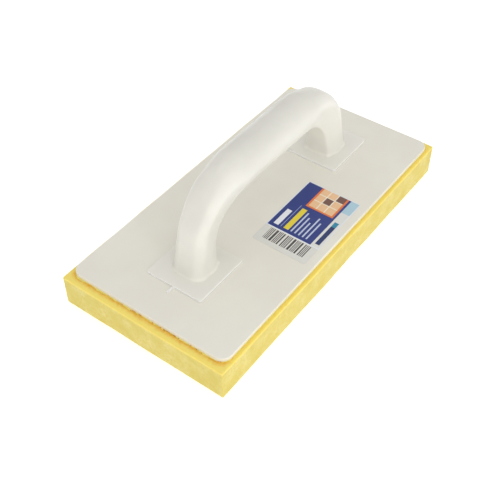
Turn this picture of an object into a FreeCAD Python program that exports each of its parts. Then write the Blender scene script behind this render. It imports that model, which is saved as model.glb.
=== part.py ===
"""Sponge-faced float for washing grout off tiles: a foam pad glued to a stiff plate, with an arched handle.

Units are millimetres. The origin is the centre of the sponge's working face, +Z points up to the handle
and +X runs along the float. Every piece is written to parts/ as a STEP file of its own.
"""

import FreeCAD, Part

import math
import os

from FreeCAD import Vector

# Foam pad
SPONGE_LENGTH = 280.0
SPONGE_WIDTH = 140.0
SPONGE_HEIGHT = 26.0
SPONGE_EDGE_RADIUS = 1.5

# Glue film between the foam and the plate; it squeezes out a little past the plate's edge
GLUE_THICKNESS = 0.3
GLUE_SQUEEZE_OUT = 0.5

# Stiff plate, glued on slightly off the pad's centre
PLATE_LENGTH = 270.6
PLATE_WIDTH = 134.4
PLATE_THICKNESS = 2.7
PLATE_CENTRE = Vector(1.7, 0.2, 0.0)
PLATE_CORNER_RADIUS = 8.0
PLATE_EDGE_SOFTENING = 0.5

# Handle: two feet on square flanges, and an arch that carries a round grip
HANDLE_CENTRE_X = 3.4
FOOT_HALF_SPAN = 83.4
FLANGE_SIZE = 48.0
FLANGE_THICKNESS = 1.5
FLANGE_CORNER_RADIUS = 2.0
FLANGE_EDGE_SOFTENING = 0.4
ARCH_RADIUS = 50.7
GRIP_HEIGHT = 87.7
GRIP_RADIUS = 15.3
FOOT_HALF_WIDTH = 13.8
FOOT_FLARE = 1.5

# Leg sections: how far the outer band rises to its middle, and the angle that a shoulder turns through
BAND_CROWN = 0.2
SHOULDER_SWEEP = 100.0

# How many points the handle's smooth skin runs on past its seam, so that it closes without a crease
SEAM_OVERLAP = 3

# The hollow that the moulding gas leaves in the handle, and the pin hole that the gas goes in by
HOLLOW_LEG_RADIUS = 7.4
HOLLOW_GRIP_RADIUS = 12.3
HOLLOW_INWARD_SHIFT = 1.5
HOLLOW_TURNS = (14.0, 30.0, 46.0, 60.0, 75.0, 90.0)
GAS_PIN_RADIUS = 2.0

# Stub of the moulding gate on the front flange
GATE_LENGTH = 6.2
GATE_WIDTH = 1.3
GATE_HEIGHT = 1.0

# Countersunk self-tapping screws, driven up through the plate into the solid feet
SCREW_LENGTH = 16.0
SCREW_SHANK_RADIUS = 1.75
SCREW_TIP_LENGTH = 3.0
SCREW_TIP_RADIUS = 0.4
SCREW_HEAD_RADIUS = 3.5
SCREW_HEAD_HEIGHT = 1.9
SCREW_HALF_SPACING = 7.0
SCREW_RECESS_WIDTH = 0.8
SCREW_RECESS_SPAN = 4.0
SCREW_RECESS_DEPTH = 1.2
PLATE_HOLE_RADIUS = 2.0
PILOT_EXTRA_DEPTH = 1.0

# Self-adhesive label on the plate, beside the handle
LABEL_LOW_CORNER = Vector(-33.0, -60.4, 0.0)
LABEL_LENGTH = 75.4
LABEL_WIDTH = 45.9
LABEL_THICKNESS = 0.15
LABEL_CORNER_RADIUS = 2.0

UP = Vector(0, 0, 1)
ACROSS = Vector(0, 1, 0)

GLUE_BOTTOM = SPONGE_HEIGHT
PLATE_BOTTOM = GLUE_BOTTOM + GLUE_THICKNESS
PLATE_TOP = PLATE_BOTTOM + PLATE_THICKNESS
FLANGE_TOP = PLATE_TOP + FLANGE_THICKNESS
ARCH_BASE = GRIP_HEIGHT - ARCH_RADIUS
ARCH_CENTRE_OFFSET = FOOT_HALF_SPAN - ARCH_RADIUS
FOOT_CENTRES_X = {"front": HANDLE_CENTRE_X - FOOT_HALF_SPAN, "rear": HANDLE_CENTRE_X + FOOT_HALF_SPAN}
SCREW_SIDES_Y = {"left": SCREW_HALF_SPACING, "right": -SCREW_HALF_SPACING}


def rounded_slab(length, width, thickness, radius, low_centre):
    """A flat slab with rounded corners, standing on low_centre."""
    slab = Part.makeBox(length, width, thickness, low_centre - Vector(length / 2, width / 2, 0))
    return slab.makeFillet(radius, edges_along(slab, UP))


def edges_along(solid, direction):
    """The straight edges of a solid that run along a direction."""
    found = []
    for edge in solid.Edges:
        if not isinstance(edge.Curve, Part.Line):
            continue
        if edge.Curve.Direction.cross(direction).Length < 1e-6:
            found.append(edge)
    return found


def edges_at_height(solid, height):
    """The edges of a solid that lie flat at one height."""
    return [edge for edge in solid.Edges if abs(edge.BoundBox.ZMin - height) < 1e-6 > edge.BoundBox.ZLength]


def leg_section(band_height, band_half_width, shoulder_radius, lower, bottom, lower_bow):
    """Half outline of a leg, in (across, outward) pairs: a nearly flat outer band, a round shoulder that
    turns a little past the widest point, a flat side down to the lower corner, and the inner face. The bows
    are how far the shoulder and the side stand off their chords."""
    shoulder_end = math.radians(90.0 - SHOULDER_SWEEP)
    widest = band_half_width + shoulder_radius * math.cos(shoulder_end)
    return {
        "top": (0.0, band_height + BAND_CROWN),
        "upper": (band_half_width, band_height),
        "middle": (widest, band_height - shoulder_radius * (1 - math.sin(shoulder_end))),
        "lower": lower,
        "bottom": (0.0, -bottom),
        "upper_bow": shoulder_radius * (1 - math.cos(math.radians(SHOULDER_SWEEP / 2))),
        "lower_bow": lower_bow,
    }


def round_section(radius):
    """A circular section, with its corners where a leg has them."""
    angles = {"top": 90.0, "upper": 66.0, "middle": -8.0, "lower": -50.0, "bottom": -90.0}
    outline = {}
    for name, angle in angles.items():
        radians = math.radians(angle)
        outline[name] = (radius * math.cos(radians), radius * math.sin(radians))
    for bow, first, last in (("upper_bow", "upper", "middle"), ("lower_bow", "middle", "lower")):
        half_step = math.radians(angles[first] - angles[last]) / 2
        outline[bow] = radius * (1 - math.cos(half_step))
    return outline


def foot_section(flare):
    """The squarish section at a foot, grown by a flare on all sides."""
    share = 1 + flare / FOOT_HALF_WIDTH
    outline = leg_section(12.2, 4.9, 8.3, (10.2, -12.3), FOOT_HALF_WIDTH, 1.7)
    for name, value in outline.items():
        if isinstance(value, tuple):
            outline[name] = (value[0] * share, value[1] * share)
        else:
            outline[name] = value * share
    return outline


# Sections from the foot to the middle of the grip. Each has the arch's turn in degrees, the distance slid
# on along the arch's tangent there, and its outline. The feet are squarish, the legs have an outer band
# about 10 wide between round shoulders, and the grip is round.
STATIONS = [
    (0.0, PLATE_TOP - ARCH_BASE, foot_section(2 * FOOT_FLARE)),
    (0.0, FLANGE_TOP - ARCH_BASE, foot_section(FOOT_FLARE)),
    (0.0, FLANGE_TOP - ARCH_BASE + FOOT_FLARE, foot_section(FOOT_FLARE / 5)),
    (0.0, FLANGE_TOP - ARCH_BASE + 2 * FOOT_FLARE, foot_section(0.0)),
    (6.0, 0.0, leg_section(11.1, 4.5, 7.9, (9.3, -12.3), 13.5, 1.0)),
    (14.0, 0.0, leg_section(10.6, 4.6, 7.6, (8.7, -12.1), 13.3, 0.6)),
    (28.0, 0.0, leg_section(12.0, 4.8, 7.0, (8.2, -11.9), 13.2, 0.3)),
    (44.0, 0.0, leg_section(13.2, 4.7, 7.5, (8.1, -12.1), 13.5, 0.3)),
    (58.0, 0.0, leg_section(14.3, 3.9, 9.2, (8.8, -12.3), 14.2, 0.6)),
    (70.0, 0.0, leg_section(14.2, 1.9, 12.0, (9.6, -11.9), 14.9, 1.0)),
    (80.0, 0.0, round_section(GRIP_RADIUS - 0.1)),
    (90.0, 0.0, round_section(GRIP_RADIUS)),
    (90.0, ARCH_CENTRE_OFFSET / 3, round_section(GRIP_RADIUS)),
    (90.0, ARCH_CENTRE_OFFSET * 2 / 3, round_section(GRIP_RADIUS)),
    (90.0, ARCH_CENTRE_OFFSET, round_section(GRIP_RADIUS)),
]


def spine_frame(end, turn, slide):
    """A point on the handle's centreline and the outward direction there. The end is -1 for the front half
    and 1 for the rear half, the turn is 0 at the leg and 90 at the grip, and slide moves the point on along
    the tangent, towards the middle of the grip."""
    angle = math.radians(turn)
    centre = Vector(HANDLE_CENTRE_X + end * ARCH_CENTRE_OFFSET, 0, ARCH_BASE)
    outward = Vector(end * math.cos(angle), 0, math.sin(angle))
    tangent = Vector(-end * math.sin(angle), 0, math.cos(angle))
    return centre + outward * ARCH_RADIUS + tangent * slide, outward


def bowed_arc(start, end, bow, inside):
    """An arc from start to end whose middle stands off the chord by bow, on the side away from inside."""
    middle = (start + end) * 0.5
    chord = (end - start).normalize()
    away = middle - inside
    away = (away - chord * away.dot(chord)).normalize()
    return Part.Arc(start, middle + away * bow, end)


def section_arcs(end, turn, slide, outline):
    """The six arcs round one section of the handle, in order, each with the number of spans it is worth."""
    origin, outward = spine_frame(end, turn, slide)

    def place(name, side):
        across, out = outline[name]
        return origin + ACROSS * (across * side) + outward * out

    def side_arc(first, last, side, bow):
        return bowed_arc(place(first, side), place(last, side), outline[bow], origin)

    return [
        (Part.Arc(place("upper", 1), place("top", 1), place("upper", -1)), 4),
        (side_arc("upper", "middle", -1, "upper_bow"), 5),
        (side_arc("middle", "lower", -1, "lower_bow"), 4),
        (Part.Arc(place("lower", -1), place("bottom", 1), place("lower", 1)), 6),
        (side_arc("lower", "middle", 1, "lower_bow"), 4),
        (side_arc("middle", "upper", 1, "upper_bow"), 5),
    ]


def section_points(end, turn, slide, outline):
    """Points round one section of the handle, running on past the start at both ends."""
    points = []
    for arc, spans in section_arcs(end, turn, slide, outline):
        step = (arc.LastParameter - arc.FirstParameter) / spans
        points += [arc.value(arc.FirstParameter + step * index) for index in range(spans)]
    return points[-SEAM_OVERLAP:] + points + points[:SEAM_OVERLAP + 1]


def arch_body():
    """The solid arch, from one foot over the grip to the other foot: one smooth tube with flat ends."""
    front = [section_points(-1, *station) for station in STATIONS]
    rear = [section_points(1, *station) for station in reversed(STATIONS[:-1])]
    tube = Part.BSplineSurface()
    tube.interpolate(front + rear)
    along, around = tube.getUKnots(), tube.getVKnots()
    tube.segment(along[0], along[-1], around[SEAM_OVERLAP], around[-1 - SEAM_OVERLAP])
    join_seam(tube)
    side = tube.toShape()
    ends = [Part.Face(Part.Wire(edge)) for edge in side.Edges if edge.isClosed()]
    shell = Part.Shell([side] + ends)
    shell.sewShape()
    return Part.Solid(shell)


def join_seam(tube):
    """Make the two sides of the tube's lengthwise seam exactly equal, so that the tube closes on itself."""
    for row in range(1, tube.NbUPoles + 1):
        tube.setPole(row, tube.NbVPoles, tube.getPole(row, 1))


def hollow_core():
    """The closed hollow inside the arch, narrow in the legs and wide in the grip."""
    front = [hollow_ring(-1, turn) for turn in HOLLOW_TURNS]
    rear = [hollow_ring(1, turn) for turn in reversed(HOLLOW_TURNS)]
    return Part.makeLoft(front + rear, True, False)


def hollow_ring(end, turn):
    """One ring of the hollow, set towards the inside of the arch in the legs."""
    origin, outward = spine_frame(end, turn, 0.0)
    radians = math.radians(turn)
    radius = HOLLOW_LEG_RADIUS + (HOLLOW_GRIP_RADIUS - HOLLOW_LEG_RADIUS) * math.sin(radians) ** 4
    centre = origin - outward * HOLLOW_INWARD_SHIFT * math.cos(radians)
    return Part.Wire(Part.Circle(centre, ACROSS.cross(outward), radius).toShape())


def flange(centre_x):
    """The thin square flange under one foot, with its top edge softened."""
    low_centre = Vector(centre_x, 0, PLATE_TOP)
    slab = rounded_slab(FLANGE_SIZE, FLANGE_SIZE, FLANGE_THICKNESS, FLANGE_CORNER_RADIUS, low_centre)
    return slab.makeFillet(FLANGE_EDGE_SOFTENING, edges_at_height(slab, FLANGE_TOP))


def gate_stub():
    """The short stub of the moulding gate, low on the front flange's outer edge."""
    flange_edge = FOOT_CENTRES_X["front"] - FLANGE_SIZE / 2
    corner = Vector(flange_edge - GATE_LENGTH, -GATE_WIDTH / 2, PLATE_TOP)
    return Part.makeBox(GATE_LENGTH + FLANGE_THICKNESS, GATE_WIDTH, GATE_HEIGHT, corner)


def make_handle():
    """The handle: one hollow moulding with solid feet, screw pilots and a gas pin hole."""
    body = arch_body()
    for centre_x in FOOT_CENTRES_X.values():
        body = body.fuse(flange(centre_x))
    body = body.fuse(gate_stub())
    body = body.cut(hollow_core())
    pilot_depth = PLATE_BOTTOM + SCREW_LENGTH + PILOT_EXTRA_DEPTH - PLATE_TOP
    for place in screw_places().values():
        low = Vector(place.x, place.y, PLATE_TOP)
        body = body.cut(Part.makeCylinder(SCREW_SHANK_RADIUS, pilot_depth, low, UP))
    return body.cut(gas_pin_hole())


def gas_pin_hole():
    """The straight hole up the rear foot into the hollow."""
    hollow_floor = spine_frame(1, HOLLOW_TURNS[0], 0.0)[0]
    length = hollow_floor.z - PLATE_TOP + HOLLOW_LEG_RADIUS
    return Part.makeCylinder(GAS_PIN_RADIUS, length, Vector(FOOT_CENTRES_X["rear"], 0, PLATE_TOP), UP)


def screw_places():
    """Each screw's name and the middle of its head's face, on the plate's underside."""
    places = {}
    for end, centre_x in FOOT_CENTRES_X.items():
        for side, y in SCREW_SIDES_Y.items():
            places[end + "_" + side + "_screw"] = Vector(centre_x, y, PLATE_BOTTOM)
    return places


def make_screw(place):
    """A countersunk self-tapping screw with a cross recess, pointing up from its head's face."""
    head = Part.makeCone(SCREW_HEAD_RADIUS, SCREW_SHANK_RADIUS, SCREW_HEAD_HEIGHT, place, UP)
    shank_length = SCREW_LENGTH - SCREW_HEAD_HEIGHT - SCREW_TIP_LENGTH
    shank = Part.makeCylinder(SCREW_SHANK_RADIUS, shank_length, place + UP * SCREW_HEAD_HEIGHT, UP)
    tip_base = place + UP * (SCREW_LENGTH - SCREW_TIP_LENGTH)
    tip = Part.makeCone(SCREW_SHANK_RADIUS, SCREW_TIP_RADIUS, SCREW_TIP_LENGTH, tip_base, UP)
    screw = head.fuse([shank, tip]).removeSplitter()
    for length, width in ((SCREW_RECESS_SPAN, SCREW_RECESS_WIDTH), (SCREW_RECESS_WIDTH, SCREW_RECESS_SPAN)):
        corner = place - Vector(length / 2, width / 2, 0)
        screw = screw.cut(Part.makeBox(length, width, SCREW_RECESS_DEPTH, corner))
    return screw


def make_plate():
    """The stiff plate, with countersunk holes from below for the handle's screws."""
    low_centre = PLATE_CENTRE + UP * PLATE_BOTTOM
    plate = rounded_slab(PLATE_LENGTH, PLATE_WIDTH, PLATE_THICKNESS, PLATE_CORNER_RADIUS, low_centre)
    plate = plate.makeFillet(PLATE_EDGE_SOFTENING, edges_at_height(plate, PLATE_TOP))
    for place in screw_places().values():
        plate = plate.cut(Part.makeCylinder(PLATE_HOLE_RADIUS, PLATE_THICKNESS, place, UP))
        plate = plate.cut(Part.makeCone(SCREW_HEAD_RADIUS, SCREW_SHANK_RADIUS, SCREW_HEAD_HEIGHT, place, UP))
    return plate


def make_glue():
    """The glue film, squeezed out a little past the plate's edge."""
    low_centre = PLATE_CENTRE + UP * GLUE_BOTTOM
    length = PLATE_LENGTH + 2 * GLUE_SQUEEZE_OUT
    width = PLATE_WIDTH + 2 * GLUE_SQUEEZE_OUT
    return rounded_slab(length, width, GLUE_THICKNESS, PLATE_CORNER_RADIUS + GLUE_SQUEEZE_OUT, low_centre)


def make_sponge():
    """The foam pad, a plain block with slightly softened edges."""
    corner = Vector(-SPONGE_LENGTH / 2, -SPONGE_WIDTH / 2, 0)
    pad = Part.makeBox(SPONGE_LENGTH, SPONGE_WIDTH, SPONGE_HEIGHT, corner)
    return pad.makeFillet(SPONGE_EDGE_RADIUS, edges_along(pad, UP))


def make_label():
    """The thin printed label, lying on the plate."""
    low_centre = LABEL_LOW_CORNER + Vector(LABEL_LENGTH / 2, LABEL_WIDTH / 2, PLATE_TOP)
    return rounded_slab(LABEL_LENGTH, LABEL_WIDTH, LABEL_THICKNESS, LABEL_CORNER_RADIUS, low_centre)


def write_parts():
    """Write every piece to its own STEP file and print its volume."""
    pieces = {
        "sponge_pad": make_sponge(),
        "sponge_adhesive": make_glue(),
        "backing_plate": make_plate(),
        "handle": make_handle(),
        "label_sticker": make_label(),
    }
    for name, place in screw_places().items():
        pieces[name] = make_screw(place)
    os.makedirs("parts", exist_ok=True)
    for name, shape in pieces.items():
        shape.exportStep("parts/" + name + ".step")
        print(name, "valid", shape.isValid(), "solids", len(shape.Solids), "volume", round(shape.Volume, 1))


write_parts()
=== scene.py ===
"""Looks of the sponge-faced float: foam pad, glue line, plate, arched handle, label and hidden screws.

Lengths are metres. The frame is the CAD's: the origin is the centre of the sponge's working face, +Z points
up to the handle and +X runs along the float.
"""

import math

import bpy
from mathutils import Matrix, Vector, noise


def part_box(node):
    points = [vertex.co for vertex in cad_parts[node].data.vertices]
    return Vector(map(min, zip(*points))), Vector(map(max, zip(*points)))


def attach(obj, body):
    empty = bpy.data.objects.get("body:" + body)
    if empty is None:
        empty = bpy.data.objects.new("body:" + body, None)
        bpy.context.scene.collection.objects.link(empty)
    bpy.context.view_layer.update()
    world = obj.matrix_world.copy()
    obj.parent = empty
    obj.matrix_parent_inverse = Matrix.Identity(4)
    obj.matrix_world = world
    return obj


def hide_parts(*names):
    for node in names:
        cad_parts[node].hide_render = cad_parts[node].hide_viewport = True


MM = 0.001

# Camera
CAMERA_TARGET = Vector((-44.9, -21.8, 30.0)) * MM
CAMERA_AZIMUTH = math.radians(-53.7)
CAMERA_ELEVATION = math.radians(45.92)
CAMERA_DISTANCE = 609.5 * MM
SENSOR_WIDTH = 36.0
FOCAL_LENGTH = 61.92

# Studio light
HORIZON_LIGHT = 0.5
ZENITH_LIGHT = 0.93
SOFT_LIGHTS = (
    ("key", Vector((-0.50, -0.87, 0.30)), 6.2),
    ("fill", Vector((0.45, -0.89, 0.10)), 1.9),
    ("near", Vector((-0.87, -0.48, 0.15)), 1.3),
)
SOFT_LIGHT_DISTANCE = 1.6
SOFT_LIGHT_SIZE = 1.2
FLOOR_GLOW = 0.42
FLOOR_GAP = 0.05 * MM
FLOOR_REACH = 40.0

# Foam pad
FOAM_GRID_STEP = 1.05 * MM
FOAM_EDGE_RADIUS = 0.7 * MM
FOAM_PORE_SIZE = 1.6 * MM
FOAM_PORE_REACH = 0.55
FOAM_PORE_DEPTH = 0.18 * MM
FOAM_WAVE_SIZE = 38.0 * MM
FOAM_WAVE_HEIGHT = 0.35 * MM

# Plate, and the glue line round its edge
PLATE_CORNER_RADIUS = 8.0 * MM
CORNER_STEP_DEGREES = 10
GLUE_BITE = 0.3 * MM
GLUE_RISE = 0.25 * MM
GLUE_LEAST = 0.2 * MM
GLUE_MOST = 0.9 * MM
GLUE_MOST_AT_NEAR_EDGE = 1.9 * MM
GLUE_INSET = 3.0 * MM
GLUE_STEP = 1.2 * MM
GLUE_SHOULDER = 0.6
GLUE_FOOT = 0.9
GLUE_WAVE_SIZE = 9 * MM
GLUE_RIPPLE_SIZE = 2.5 * MM

# Glue in the foam's top, darkened by painted shade towards the plate's edge: distances past the plate's
# edge, and in from its near end and right side
NEAR_END_FADE = 6 * MM
STAIN_AND_SHADE_FULL_TO = 1.5 * MM
STAIN_AND_SHADE_GONE_AT = 6.5 * MM
STAIN_AND_SHADE_RAGGEDNESS = 4.0 * MM
RIGHT_SIDE_FADE_FROM = 40 * MM
RIGHT_SIDE_FADE_TO = 100 * MM


def node(tree, kind, inputs=None, **settings):
    """Adds a shader node. Inputs are values, or sockets to link from."""
    made = tree.nodes.new(kind)
    for name, value in settings.items():
        setattr(made, name, value)
    for name, value in (inputs or {}).items():
        socket = made.inputs[name]
        if isinstance(value, bpy.types.NodeSocket):
            tree.links.new(value, socket)
        else:
            socket.default_value = value
    return made


def math_node(tree, operation, *values):
    """The result of one arithmetic node."""
    return node(tree, "ShaderNodeMath", dict(enumerate(values)), operation=operation).outputs[0]


def colour(red, green, blue):
    """A colour from display levels of 0 to 255, as linear light."""
    linear = []
    for level in (red / 255, green / 255, blue / 255):
        linear.append(level / 12.92 if level < 0.04045 else ((level + 0.055) / 1.055) ** 2.4)
    return (*linear, 1.0)


def mix(tree, factor, first, second):
    """A colour that goes from first to second as the factor goes from 0 to 1."""
    made = node(tree, "ShaderNodeMix", data_type="RGBA", clamp_factor=True)
    for socket, value in ((made.inputs[0], factor), (made.inputs[6], first), (made.inputs[7], second)):
        if isinstance(value, bpy.types.NodeSocket):
            tree.links.new(value, socket)
        else:
            socket.default_value = value
    return made.outputs[2]


def ramp(tree, value, low, high):
    """0 up to low and 1 from high on, with a smooth rise between."""
    inputs = {"Value": value, "From Min": low, "From Max": high}
    return node(tree, "ShaderNodeMapRange", inputs, interpolation_type="SMOOTHSTEP").outputs["Result"]


def fall(tree, value, low, high):
    """1 up to low and 0 from high on, with a smooth fall between."""
    return math_node(tree, "SUBTRACT", 1.0, ramp(tree, value, low, high))


def noise_node(tree, place, size, detail=2.0, roughness=0.5):
    """Soft noise, 0 to 1, whose blotches are about size across."""
    inputs = {"Vector": place, "Scale": 1 / size, "Detail": detail, "Roughness": roughness}
    return node(tree, "ShaderNodeTexNoise", inputs).outputs["Fac"]


def object_place(tree):
    """Where a point lies in the object's own frame, in metres."""
    return node(tree, "ShaderNodeTexCoord").outputs["Object"]


def along_axis(tree, place, axis):
    """How far a point lies along X, Y or Z."""
    return node(tree, "ShaderNodeSeparateXYZ", {"Vector": place}).outputs[axis]


def new_material(name):
    """An empty material with its main shader: the material, its tree and the shader."""
    made = bpy.data.materials.new(name)
    made.use_nodes = True
    tree = made.node_tree
    return made, tree, tree.nodes["Principled BSDF"]


def set_inputs(tree, shader, **inputs):
    """Sets or links the shader's inputs, given with underscores for spaces."""
    for name, value in inputs.items():
        socket = shader.inputs[name.replace("_", " ")]
        if isinstance(value, bpy.types.NodeSocket):
            tree.links.new(value, socket)
        else:
            socket.default_value = value


def bump(tree, height, distance, strength=1.0):
    """A normal that tilts as if the surface rose by height times distance."""
    inputs = {"Height": height, "Distance": distance, "Strength": strength}
    return node(tree, "ShaderNodeBump", inputs).outputs["Normal"]


def foam_material():
    """Dry yellow polyurethane foam, cells of two sizes, a top in painted light paler than the sides, and
    glue soak with painted shade.
    """
    made, tree, shader = new_material("yellow foam")
    place = object_place(tree)
    blotch = noise_node(tree, place, 14 * MM, 3.0)
    grain = noise_node(tree, place, 2.2 * MM, 3.0, 0.6)
    voronoi = node(tree, "ShaderNodeTexVoronoi", {"Vector": place, "Scale": 1 / (1.1 * MM)})
    cells = voronoi.outputs["Distance"]
    base = mix(tree, ramp(tree, blotch, 0.28, 0.75), colour(214, 195, 96), colour(225, 210, 130))
    base = mix(tree, ramp(tree, grain, 0.42, 0.8), base, colour(213, 191, 84))
    # Painted light: the top gets a paler, brighter yellow than the sides, as if it catches more light.
    base = mix(tree, foam_top(tree, place), base, colour(249, 226, 118))
    # Glue tint on the top, darker towards the plate's edge: partly real glue, partly painted shade of the
    # plate's edge.
    stain_and_shade_tone = mix(tree, near_end(tree, place), colour(249, 214, 92), colour(233, 172, 42))
    base = mix(tree, glue_stain_and_shade(tree, place), base, stain_and_shade_tone)
    height = math_node(tree, "ADD", cells, math_node(tree, "MULTIPLY", grain, 1.5))
    set_inputs(
        tree, shader, Base_Color=base, Roughness=0.95, Subsurface_Weight=0.25, Subsurface_Scale=2.5 * MM,
        Sheen_Weight=0.15, Sheen_Roughness=0.6, Normal=bump(tree, height, 0.3 * MM, 0.4),
    )
    shader.inputs["Subsurface Radius"].default_value = (1.0, 0.75, 0.35)
    shader.inputs["Specular IOR Level"].default_value = 0.15
    return made


def near_end(tree, place):
    """1 at the plate's near end and beyond it, and 0 from a little way in."""
    low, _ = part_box("backing_plate")
    return fall(tree, along_axis(tree, place, "X"), low.x, low.x + NEAR_END_FADE)


def foam_top(tree, place):
    """1 on the foam's top and 0 down its sides."""
    _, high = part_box("sponge_pad")
    return ramp(tree, along_axis(tree, place, "Z"), high.z - 3.0 * MM, high.z - 0.2 * MM)


def glue_stain_and_shade(tree, place):
    """How much glue has gone into the foam's top, with painted shade darkest at the plate's edge: most along
    the plate's near and right edges.
    """
    low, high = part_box("backing_plate")
    middle, half = (low + high) / 2, (high - low) / 2
    squares = []
    for axis, name in enumerate("XY"):
        off_middle = math_node(tree, "SUBTRACT", along_axis(tree, place, name), middle[axis])
        distance = math_node(tree, "ABSOLUTE", off_middle)
        past = math_node(tree, "SUBTRACT", distance, half[axis] - PLATE_CORNER_RADIUS)
        squares.append(math_node(tree, "POWER", math_node(tree, "MAXIMUM", past, 0.0), 2.0))
    from_corner = math_node(tree, "SQRT", math_node(tree, "ADD", squares[0], squares[1]))
    past_edge = math_node(tree, "SUBTRACT", from_corner, PLATE_CORNER_RADIUS)
    ragged = math_node(tree, "MULTIPLY", noise_node(tree, place, 2.5 * MM, 3.0), STAIN_AND_SHADE_RAGGEDNESS)
    # Darkest at the plate's edge and fading outward: glue there, and painted shade beside the plate.
    fade = fall(tree, math_node(tree, "ADD", past_edge, ragged), STAIN_AND_SHADE_FULL_TO, STAIN_AND_SHADE_GONE_AT)
    across = along_axis(tree, place, "Y")
    right = fall(tree, across, low.y + RIGHT_SIDE_FADE_FROM, low.y + RIGHT_SIDE_FADE_TO)
    sides = math_node(tree, "MAXIMUM", right, near_end(tree, place))
    soaked_and_shaded = math_node(tree, "MULTIPLY", fade, sides)
    return math_node(tree, "MULTIPLY", soaked_and_shaded, foam_top(tree, place))


def glue_material():
    """Contact glue: pale amber, with brown lumps where it is thick, on the right half of the near edge."""
    made, tree, shader = new_material("amber glue")
    place = object_place(tree)
    right_half = fall(tree, along_axis(tree, place, "Y"), -10 * MM, 50 * MM)
    brown = math_node(tree, "MULTIPLY", near_end(tree, place), right_half)
    thick = noise_node(tree, place, 3.0 * MM, 3.0)
    lumps = math_node(tree, "MULTIPLY", ramp(tree, thick, 0.5, 0.62), brown)
    base = mix(tree, lumps, colour(250, 222, 112), colour(206, 142, 42))
    set_inputs(
        tree, shader, Base_Color=base, Roughness=0.4, Subsurface_Weight=0.4, Subsurface_Scale=1.5 * MM,
        Normal=bump(tree, thick, 0.5 * MM),
    )
    return made


def moulded_material(name, base, shade, roughness, grain_height, through):
    """White moulded plastic: faint cloudiness, fine surface grain, and some light passing through it."""
    made, tree, shader = new_material(name)
    place = object_place(tree)
    cloud = noise_node(tree, place, 45 * MM, 3.0)
    grain = noise_node(tree, place, 0.5 * MM, 2.0)
    scuff = noise_node(tree, place, 9 * MM, 4.0, 0.65)
    rough = node(
        tree, "ShaderNodeMapRange", {"Value": scuff, "To Min": roughness - 0.06, "To Max": roughness + 0.10},
    ).outputs["Result"]
    set_inputs(
        tree, shader, Base_Color=mix(tree, ramp(tree, cloud, 0.35, 0.65), base, shade), Roughness=rough,
        Subsurface_Weight=through, Subsurface_Scale=4 * MM, Normal=bump(tree, grain, grain_height),
    )
    shader.inputs["Subsurface Radius"].default_value = (1.0, 0.98, 0.94)
    return made


def handle_material():
    """The handle's milky plastic, whiter in the thin flanges, where the plate below shows through, with a
    painted highlight on their rims.
    """
    base, shade = colour(234, 232, 223), colour(227, 225, 216)
    made = moulded_material("milky handle", base, shade, 0.34, 0.01 * MM, 0.45)
    tree = made.node_tree
    shader = tree.nodes["Principled BSDF"]
    _, plate_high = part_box("backing_plate")
    height = along_axis(tree, object_place(tree), "Z")
    thick = ramp(tree, height, plate_high.z + 1.6 * MM, plate_high.z + 4.5 * MM)
    # Painted highlight: the rims below the flanges' tops get a near-white colour, for bright edge lines.
    top = ramp(tree, height, plate_high.z + 1.1 * MM, plate_high.z + 1.5 * MM)
    flange_and_rim_highlight = mix(tree, top, colour(252, 251, 247), colour(243, 240, 228))
    milky = shader.inputs["Base Color"].links[0].from_socket
    set_inputs(tree, shader, Base_Color=mix(tree, thick, flange_and_rim_highlight, milky))
    return made


def steel_material():
    """Bright zinc on steel, with the spangle and fine marks of tumbled screws."""
    made, tree, shader = new_material("zinc plated steel")
    place = object_place(tree)
    spangle = noise_node(tree, place, 1.2 * MM, 3.0)
    base = mix(tree, spangle, colour(196, 198, 204), colour(158, 160, 170))
    rough = node(
        tree, "ShaderNodeMapRange", {"Value": spangle, "To Min": 0.25, "To Max": 0.45},
    ).outputs["Result"]
    normal = bump(tree, spangle, 0.05 * MM)
    set_inputs(tree, shader, Base_Color=base, Metallic=1.0, Roughness=rough, Normal=normal)
    return made


def rectangle(tree, along, across, low, high):
    """1 inside an upright rectangle of the label's face, and 0 outside. Low and high are two corners."""
    mask = None
    for value, start, end in ((along, low[0], high[0]), (across, low[1], high[1])):
        off_middle = math_node(tree, "ABSOLUTE", math_node(tree, "SUBTRACT", value, (start + end) / 2))
        inside = math_node(tree, "LESS_THAN", off_middle, (end - start) / 2)
        mask = inside if mask is None else math_node(tree, "MULTIPLY", mask, inside)
    return mask


def stripes(tree, across):
    """1 on the bars of a striped block whose bars and gaps vary in width, and 0 between them."""
    wave = math_node(tree, "SINE", math_node(tree, "MULTIPLY", across, STRIPE_SWAY_RATE))
    swayed = math_node(tree, "ADD", across, math_node(tree, "MULTIPLY", wave, STRIPE_SWAY))
    off_bar = math_node(tree, "PINGPONG", swayed, STRIPE_PITCH / 2)
    return math_node(tree, "LESS_THAN", off_bar, STRIPE_WIDTH / 2)


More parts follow.
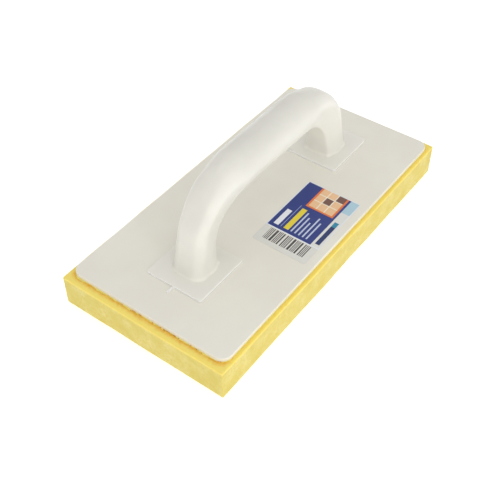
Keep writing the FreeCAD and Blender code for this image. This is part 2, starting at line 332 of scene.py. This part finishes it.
# What is printed on the label, in order from the lowest layer: low corner, high corner and colour. Distances
# here are in millimetres, along the float from the label's near end, and across it from its right edge.
LABEL_BLOCKS = [
    ((17.6, 0.0), (75.4, 45.9), (232, 236, 244)),
    ((18.4, 0.6), (74.8, 45.1), (38, 56, 130)),
    ((18.4, 0.6), (74.8, 7.6), (226, 226, 222)),
    ((21.5, 2.0), (43.0, 5.6), (30, 50, 104)),
    ((43.0, 2.0), (48.5, 5.6), (36, 138, 170)),
    ((60.0, 0.6), (74.8, 7.6), (176, 208, 222)),
    ((50.6, 9.4), (74.8, 33.0), (232, 120, 52)),
    ((52.2, 11.0), (74.8, 31.4), (240, 196, 150)),
    ((59.6, 11.0), (60.4, 31.4), (250, 236, 214)),
    ((67.2, 11.0), (68.0, 31.4), (250, 236, 214)),
    ((52.2, 17.6), (74.8, 18.4), (250, 236, 214)),
    ((52.2, 24.4), (74.8, 25.2), (250, 236, 214)),
    ((60.4, 18.4), (67.2, 24.4), (120, 84, 72)),
    ((68.0, 11.0), (74.8, 17.6), (120, 84, 72)),
    ((21.5, 37.6), (40.0, 41.8), (238, 240, 246)),
    ((21.5, 35.2), (49.0, 35.7), (150, 162, 206)),
    ((21.5, 28.8), (47.0, 33.0), (236, 214, 60)),
]
LABEL_LINES = 5
LABEL_LINE_START = 21.5
LABEL_LINE_END = 45.0
LABEL_LINE_TOP = 27.0
LABEL_LINE_HEIGHT = 1.2
LABEL_LINE_PITCH = 3.3
LABEL_LINE_INDENT = 4.0
STRIPE_PITCH = 1.7
STRIPE_WIDTH = 0.84
STRIPE_SWAY = 0.7
STRIPE_SWAY_RATE = 0.83


def label_material():
    """Printed film with plain bars and blocks where a maker would print: a blue field and a striped end."""
    made, tree, shader = new_material("printed film")
    low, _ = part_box("label_sticker")
    place = object_place(tree)
    along, across = (
        math_node(tree, "SUBTRACT", math_node(tree, "DIVIDE", along_axis(tree, place, axis), MM), start / MM)
        for axis, start in (("X", low.x), ("Y", low.y))
    )
    base = mix(tree, noise_node(tree, place, 8 * MM), colour(228, 227, 221), colour(221, 220, 214))
    striped_end = rectangle(tree, along, across, (4.5, 5.0), (16.8, 40.0))
    bars = math_node(tree, "MULTIPLY", stripes(tree, across), striped_end)
    base = mix(tree, bars, base, colour(74, 70, 70))
    for block_low, block_high, tone in LABEL_BLOCKS:
        base = mix(tree, rectangle(tree, along, across, block_low, block_high), base, colour(*tone))
    for line in range(LABEL_LINES):
        top = LABEL_LINE_TOP - line * LABEL_LINE_PITCH
        end = LABEL_LINE_END - LABEL_LINE_INDENT * (line % 3)
        bar = rectangle(tree, along, across, (LABEL_LINE_START, top - LABEL_LINE_HEIGHT), (end, top))
        base = mix(tree, bar, base, colour(196, 206, 230))
    set_inputs(tree, shader, Base_Color=base, Roughness=0.35)
    return made


def block_faces(low, high, step):
    """A box's skin as a grid: its points, and its faces as lists of point numbers."""
    size = high - low
    counts = [max(2, round(length / step)) for length in size]
    numbers, points, faces = {}, [], []

    def point(grid):
        if grid not in numbers:
            numbers[grid] = len(points)
            points.append(Vector(low[axis] + size[axis] * grid[axis] / counts[axis] for axis in range(3)))
        return numbers[grid]

    for axis in range(3):
        first, second = (axis + 1) % 3, (axis + 2) % 3
        for end in (0, counts[axis]):
            for i in range(counts[first]):
                for j in range(counts[second]):
                    corners = []
                    for step_i, step_j in ((0, 0), (1, 0), (1, 1), (0, 1)):
                        grid = [0, 0, 0]
                        grid[axis], grid[first], grid[second] = end, i + step_i, j + step_j
                        corners.append(point(tuple(grid)))
                    faces.append(corners if end else corners[::-1])
    return points, faces


def soften_edge(point, low, high, radius):
    """A point of a box's skin, drawn in where the edges are rounded, and the outward direction there."""
    inner = Vector(min(max(point[axis], low[axis] + radius), high[axis] - radius) for axis in range(3))
    outward = (point - inner).normalized()
    return inner + outward * radius, outward


def foam_height(point):
    """How far the cut foam stands off the plain block at a point: slow waves, less the cells' depth."""
    wave = noise.noise(point / FOAM_WAVE_SIZE) * FOAM_WAVE_HEIGHT
    nearest = noise.voronoi(point / FOAM_PORE_SIZE)[0][0]
    pore = max(0.0, 1.0 - nearest / FOAM_PORE_REACH)
    return wave - pore * FOAM_PORE_DEPTH


def make_object(name, points, faces, material, smooth=True):
    """A mesh object from points and faces."""
    mesh = bpy.data.meshes.new(name)
    mesh.from_pydata([tuple(point) for point in points], [], faces)
    mesh.polygons.foreach_set("use_smooth", [smooth] * len(mesh.polygons))
    mesh.materials.append(material)
    mesh.update()
    made = bpy.data.objects.new(name, mesh)
    bpy.context.scene.collection.objects.link(made)
    return made


def build_foam():
    """The foam pad: a block with softened, slightly wavy edges and open cells all over."""
    low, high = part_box("sponge_pad")
    points, faces = block_faces(low, high, FOAM_GRID_STEP)
    shaped = []
    for point in points:
        rounded, outward = soften_edge(point, low, high, FOAM_EDGE_RADIUS)
        moved = rounded + outward * foam_height(rounded)
        moved.z = min(max(moved.z, low.z), high.z)
        shaped.append(moved)
    foam = make_object("foam_block", shaped, faces, foam_material())
    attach(foam, "root")
    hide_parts("sponge_pad")


def plate_outline(offset_at):
    """Points round the plate's edge, each moved outward by offset_at(point)."""
    low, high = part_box("backing_plate")
    radius = PLATE_CORNER_RADIUS
    inner_low, inner_high = low + Vector((radius, radius, 0)), high - Vector((radius, radius, 0))
    corners = (
        (inner_high.x, inner_high.y, 0), (inner_low.x, inner_high.y, 90),
        (inner_low.x, inner_low.y, 180), (inner_high.x, inner_low.y, 270),
    )
    outline = []
    for index, (x, y, start) in enumerate(corners):
        for turn in range(0, 91, CORNER_STEP_DEGREES):
            angle = math.radians(start + turn)
            outward = Vector((math.cos(angle), math.sin(angle), 0))
            outline.append((Vector((x, y, 0)) + outward * radius, outward))
        next_x, next_y, _ = corners[(index + 1) % 4]
        here = outline[-1][0]
        there = Vector((next_x, next_y, 0)) + outward * radius
        count = round((there - here).length / GLUE_STEP)
        for number in range(1, count):
            outline.append((here.lerp(there, number / count), outward))
    return [point + outward * offset_at(point) for point, outward in outline]


def glue_reach(point):
    """How far the glue has squeezed out past the plate at a point of its edge: furthest at the near end."""
    wave, ripple = noise.noise(point / GLUE_WAVE_SIZE), noise.noise(point / GLUE_RIPPLE_SIZE)
    share = 0.5 + 0.5 * wave + 0.25 * ripple
    low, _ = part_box("backing_plate")
    most = GLUE_MOST_AT_NEAR_EDGE if point.x < low.x + GLUE_STEP else GLUE_MOST
    return GLUE_LEAST + (most - GLUE_LEAST) * min(max(share, 0.0), 1.0) ** 2


def build_glue():
    """The glue film under the plate's rim, squeezed out unevenly onto the foam."""
    film_low, film_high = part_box("sponge_adhesive")
    bottom = film_low.z - GLUE_BITE
    rings = (
        (plate_outline(lambda point: -GLUE_INSET), film_high.z),
        (plate_outline(lambda point: 0.0), film_high.z),
        (plate_outline(lambda point: glue_reach(point) * GLUE_SHOULDER), film_low.z + GLUE_RISE),
        (plate_outline(glue_reach), film_low.z),
        (plate_outline(lambda point: glue_reach(point) * GLUE_FOOT), bottom),
        (plate_outline(lambda point: -GLUE_INSET), bottom),
    )
    points, faces = [], []
    count = len(rings[0][0])
    for outline, height in rings:
        points += [Vector((point.x, point.y, height)) for point in outline]
    for ring in range(len(rings)):
        for number in range(count):
            following = (number + 1) % count
            other = (ring + 1) % len(rings)
            faces.append([
                ring * count + number, ring * count + following,
                other * count + following, other * count + number,
            ][::-1])
    glue = make_object("glue_line", points, faces, glue_material())
    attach(glue, "root")
    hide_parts("sponge_adhesive")


def finish_cad_nodes():
    """Materials for the pieces whose CAD shape is kept."""
    base, shade = colour(238, 235, 223), colour(235, 231, 219)
    plate = moulded_material("satin plate", base, shade, 0.42, 0.02 * MM, 0.1)
    steel = steel_material()
    chosen = {"backing_plate": plate, "handle": handle_material(), "label_sticker": label_material()}
    for name, cad_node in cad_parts.items():
        if name in chosen or name.endswith("screw"):
            cad_node.data.materials.clear()
            cad_node.data.materials.append(chosen.get(name, steel))


def add_soft_light(name, toward, power):
    """A square soft light that stands in a direction from the object and faces it."""
    data = bpy.data.lights.new(name, "AREA")
    data.size = SOFT_LIGHT_SIZE
    data.energy = power
    made = bpy.data.objects.new(name, data)
    made.location = toward.normalized() * SOFT_LIGHT_DISTANCE
    made.rotation_euler = (-toward).to_track_quat("-Z", "Y").to_euler()
    bpy.context.scene.collection.objects.link(made)


def build_studio():
    """A pale floor, a bright surround and three soft lights, from the right and the near end."""
    floor_material, tree, shader = new_material("pale floor")
    tone = noise_node(tree, object_place(tree), 0.4, 2.0)
    base = mix(tree, tone, colour(250, 250, 250), colour(248, 248, 248))
    set_inputs(tree, shader, Base_Color=base, Roughness=0.9)
    shader.inputs["Emission Color"].default_value = (1.0, 1.0, 1.0, 1.0)
    shader.inputs["Emission Strength"].default_value = FLOOR_GLOW
    turns = ((-1, -1), (1, -1), (1, 1), (-1, 1))
    corners = [(x * FLOOR_REACH, y * FLOOR_REACH, -FLOOR_GAP) for x, y in turns]
    floor = make_object("floor", corners, [[0, 1, 2, 3]], floor_material, smooth=False)
    world = bpy.data.worlds.new("studio")
    bpy.context.scene.world = world
    world.use_nodes = True
    surround = world.node_tree
    direction = node(surround, "ShaderNodeTexCoord").outputs["Generated"]
    height = node(surround, "ShaderNodeSeparateXYZ", {"Vector": direction}).outputs["Z"]
    strength = node(
        surround, "ShaderNodeMapRange", {"Value": height, "To Min": HORIZON_LIGHT, "To Max": ZENITH_LIGHT},
    ).outputs["Result"]
    surround.links.new(strength, surround.nodes["Background"].inputs["Strength"])
    surround.nodes["Background"].inputs["Color"].default_value = (1.0, 1.0, 1.0, 1.0)
    for name, toward, power in SOFT_LIGHTS:
        add_soft_light(name, toward, power)


def build_camera():
    """The camera at the photograph's angle."""
    flat = math.cos(CAMERA_ELEVATION)
    back = Vector((
        math.sin(CAMERA_AZIMUTH) * flat, -math.cos(CAMERA_AZIMUTH) * flat, math.sin(CAMERA_ELEVATION),
    ))
    data = bpy.data.cameras.new("camera")
    data.sensor_width = SENSOR_WIDTH
    data.lens = FOCAL_LENGTH
    data.clip_start = 0.01
    made = bpy.data.objects.new("camera", data)
    made.location = CAMERA_TARGET + back * CAMERA_DISTANCE
    made.rotation_euler = back.to_track_quat("Z", "Y").to_euler()
    bpy.context.scene.collection.objects.link(made)
    bpy.context.scene.camera = made


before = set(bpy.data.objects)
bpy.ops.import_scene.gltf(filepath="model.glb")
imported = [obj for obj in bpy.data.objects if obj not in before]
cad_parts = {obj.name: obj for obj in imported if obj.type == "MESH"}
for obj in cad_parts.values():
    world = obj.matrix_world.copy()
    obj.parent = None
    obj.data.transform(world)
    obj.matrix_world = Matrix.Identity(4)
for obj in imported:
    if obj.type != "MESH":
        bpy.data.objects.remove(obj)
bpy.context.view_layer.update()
bpy.context.scene.view_settings.view_transform = "Standard"

build_camera()
build_studio()
build_foam()
build_glue()
finish_cad_nodes()
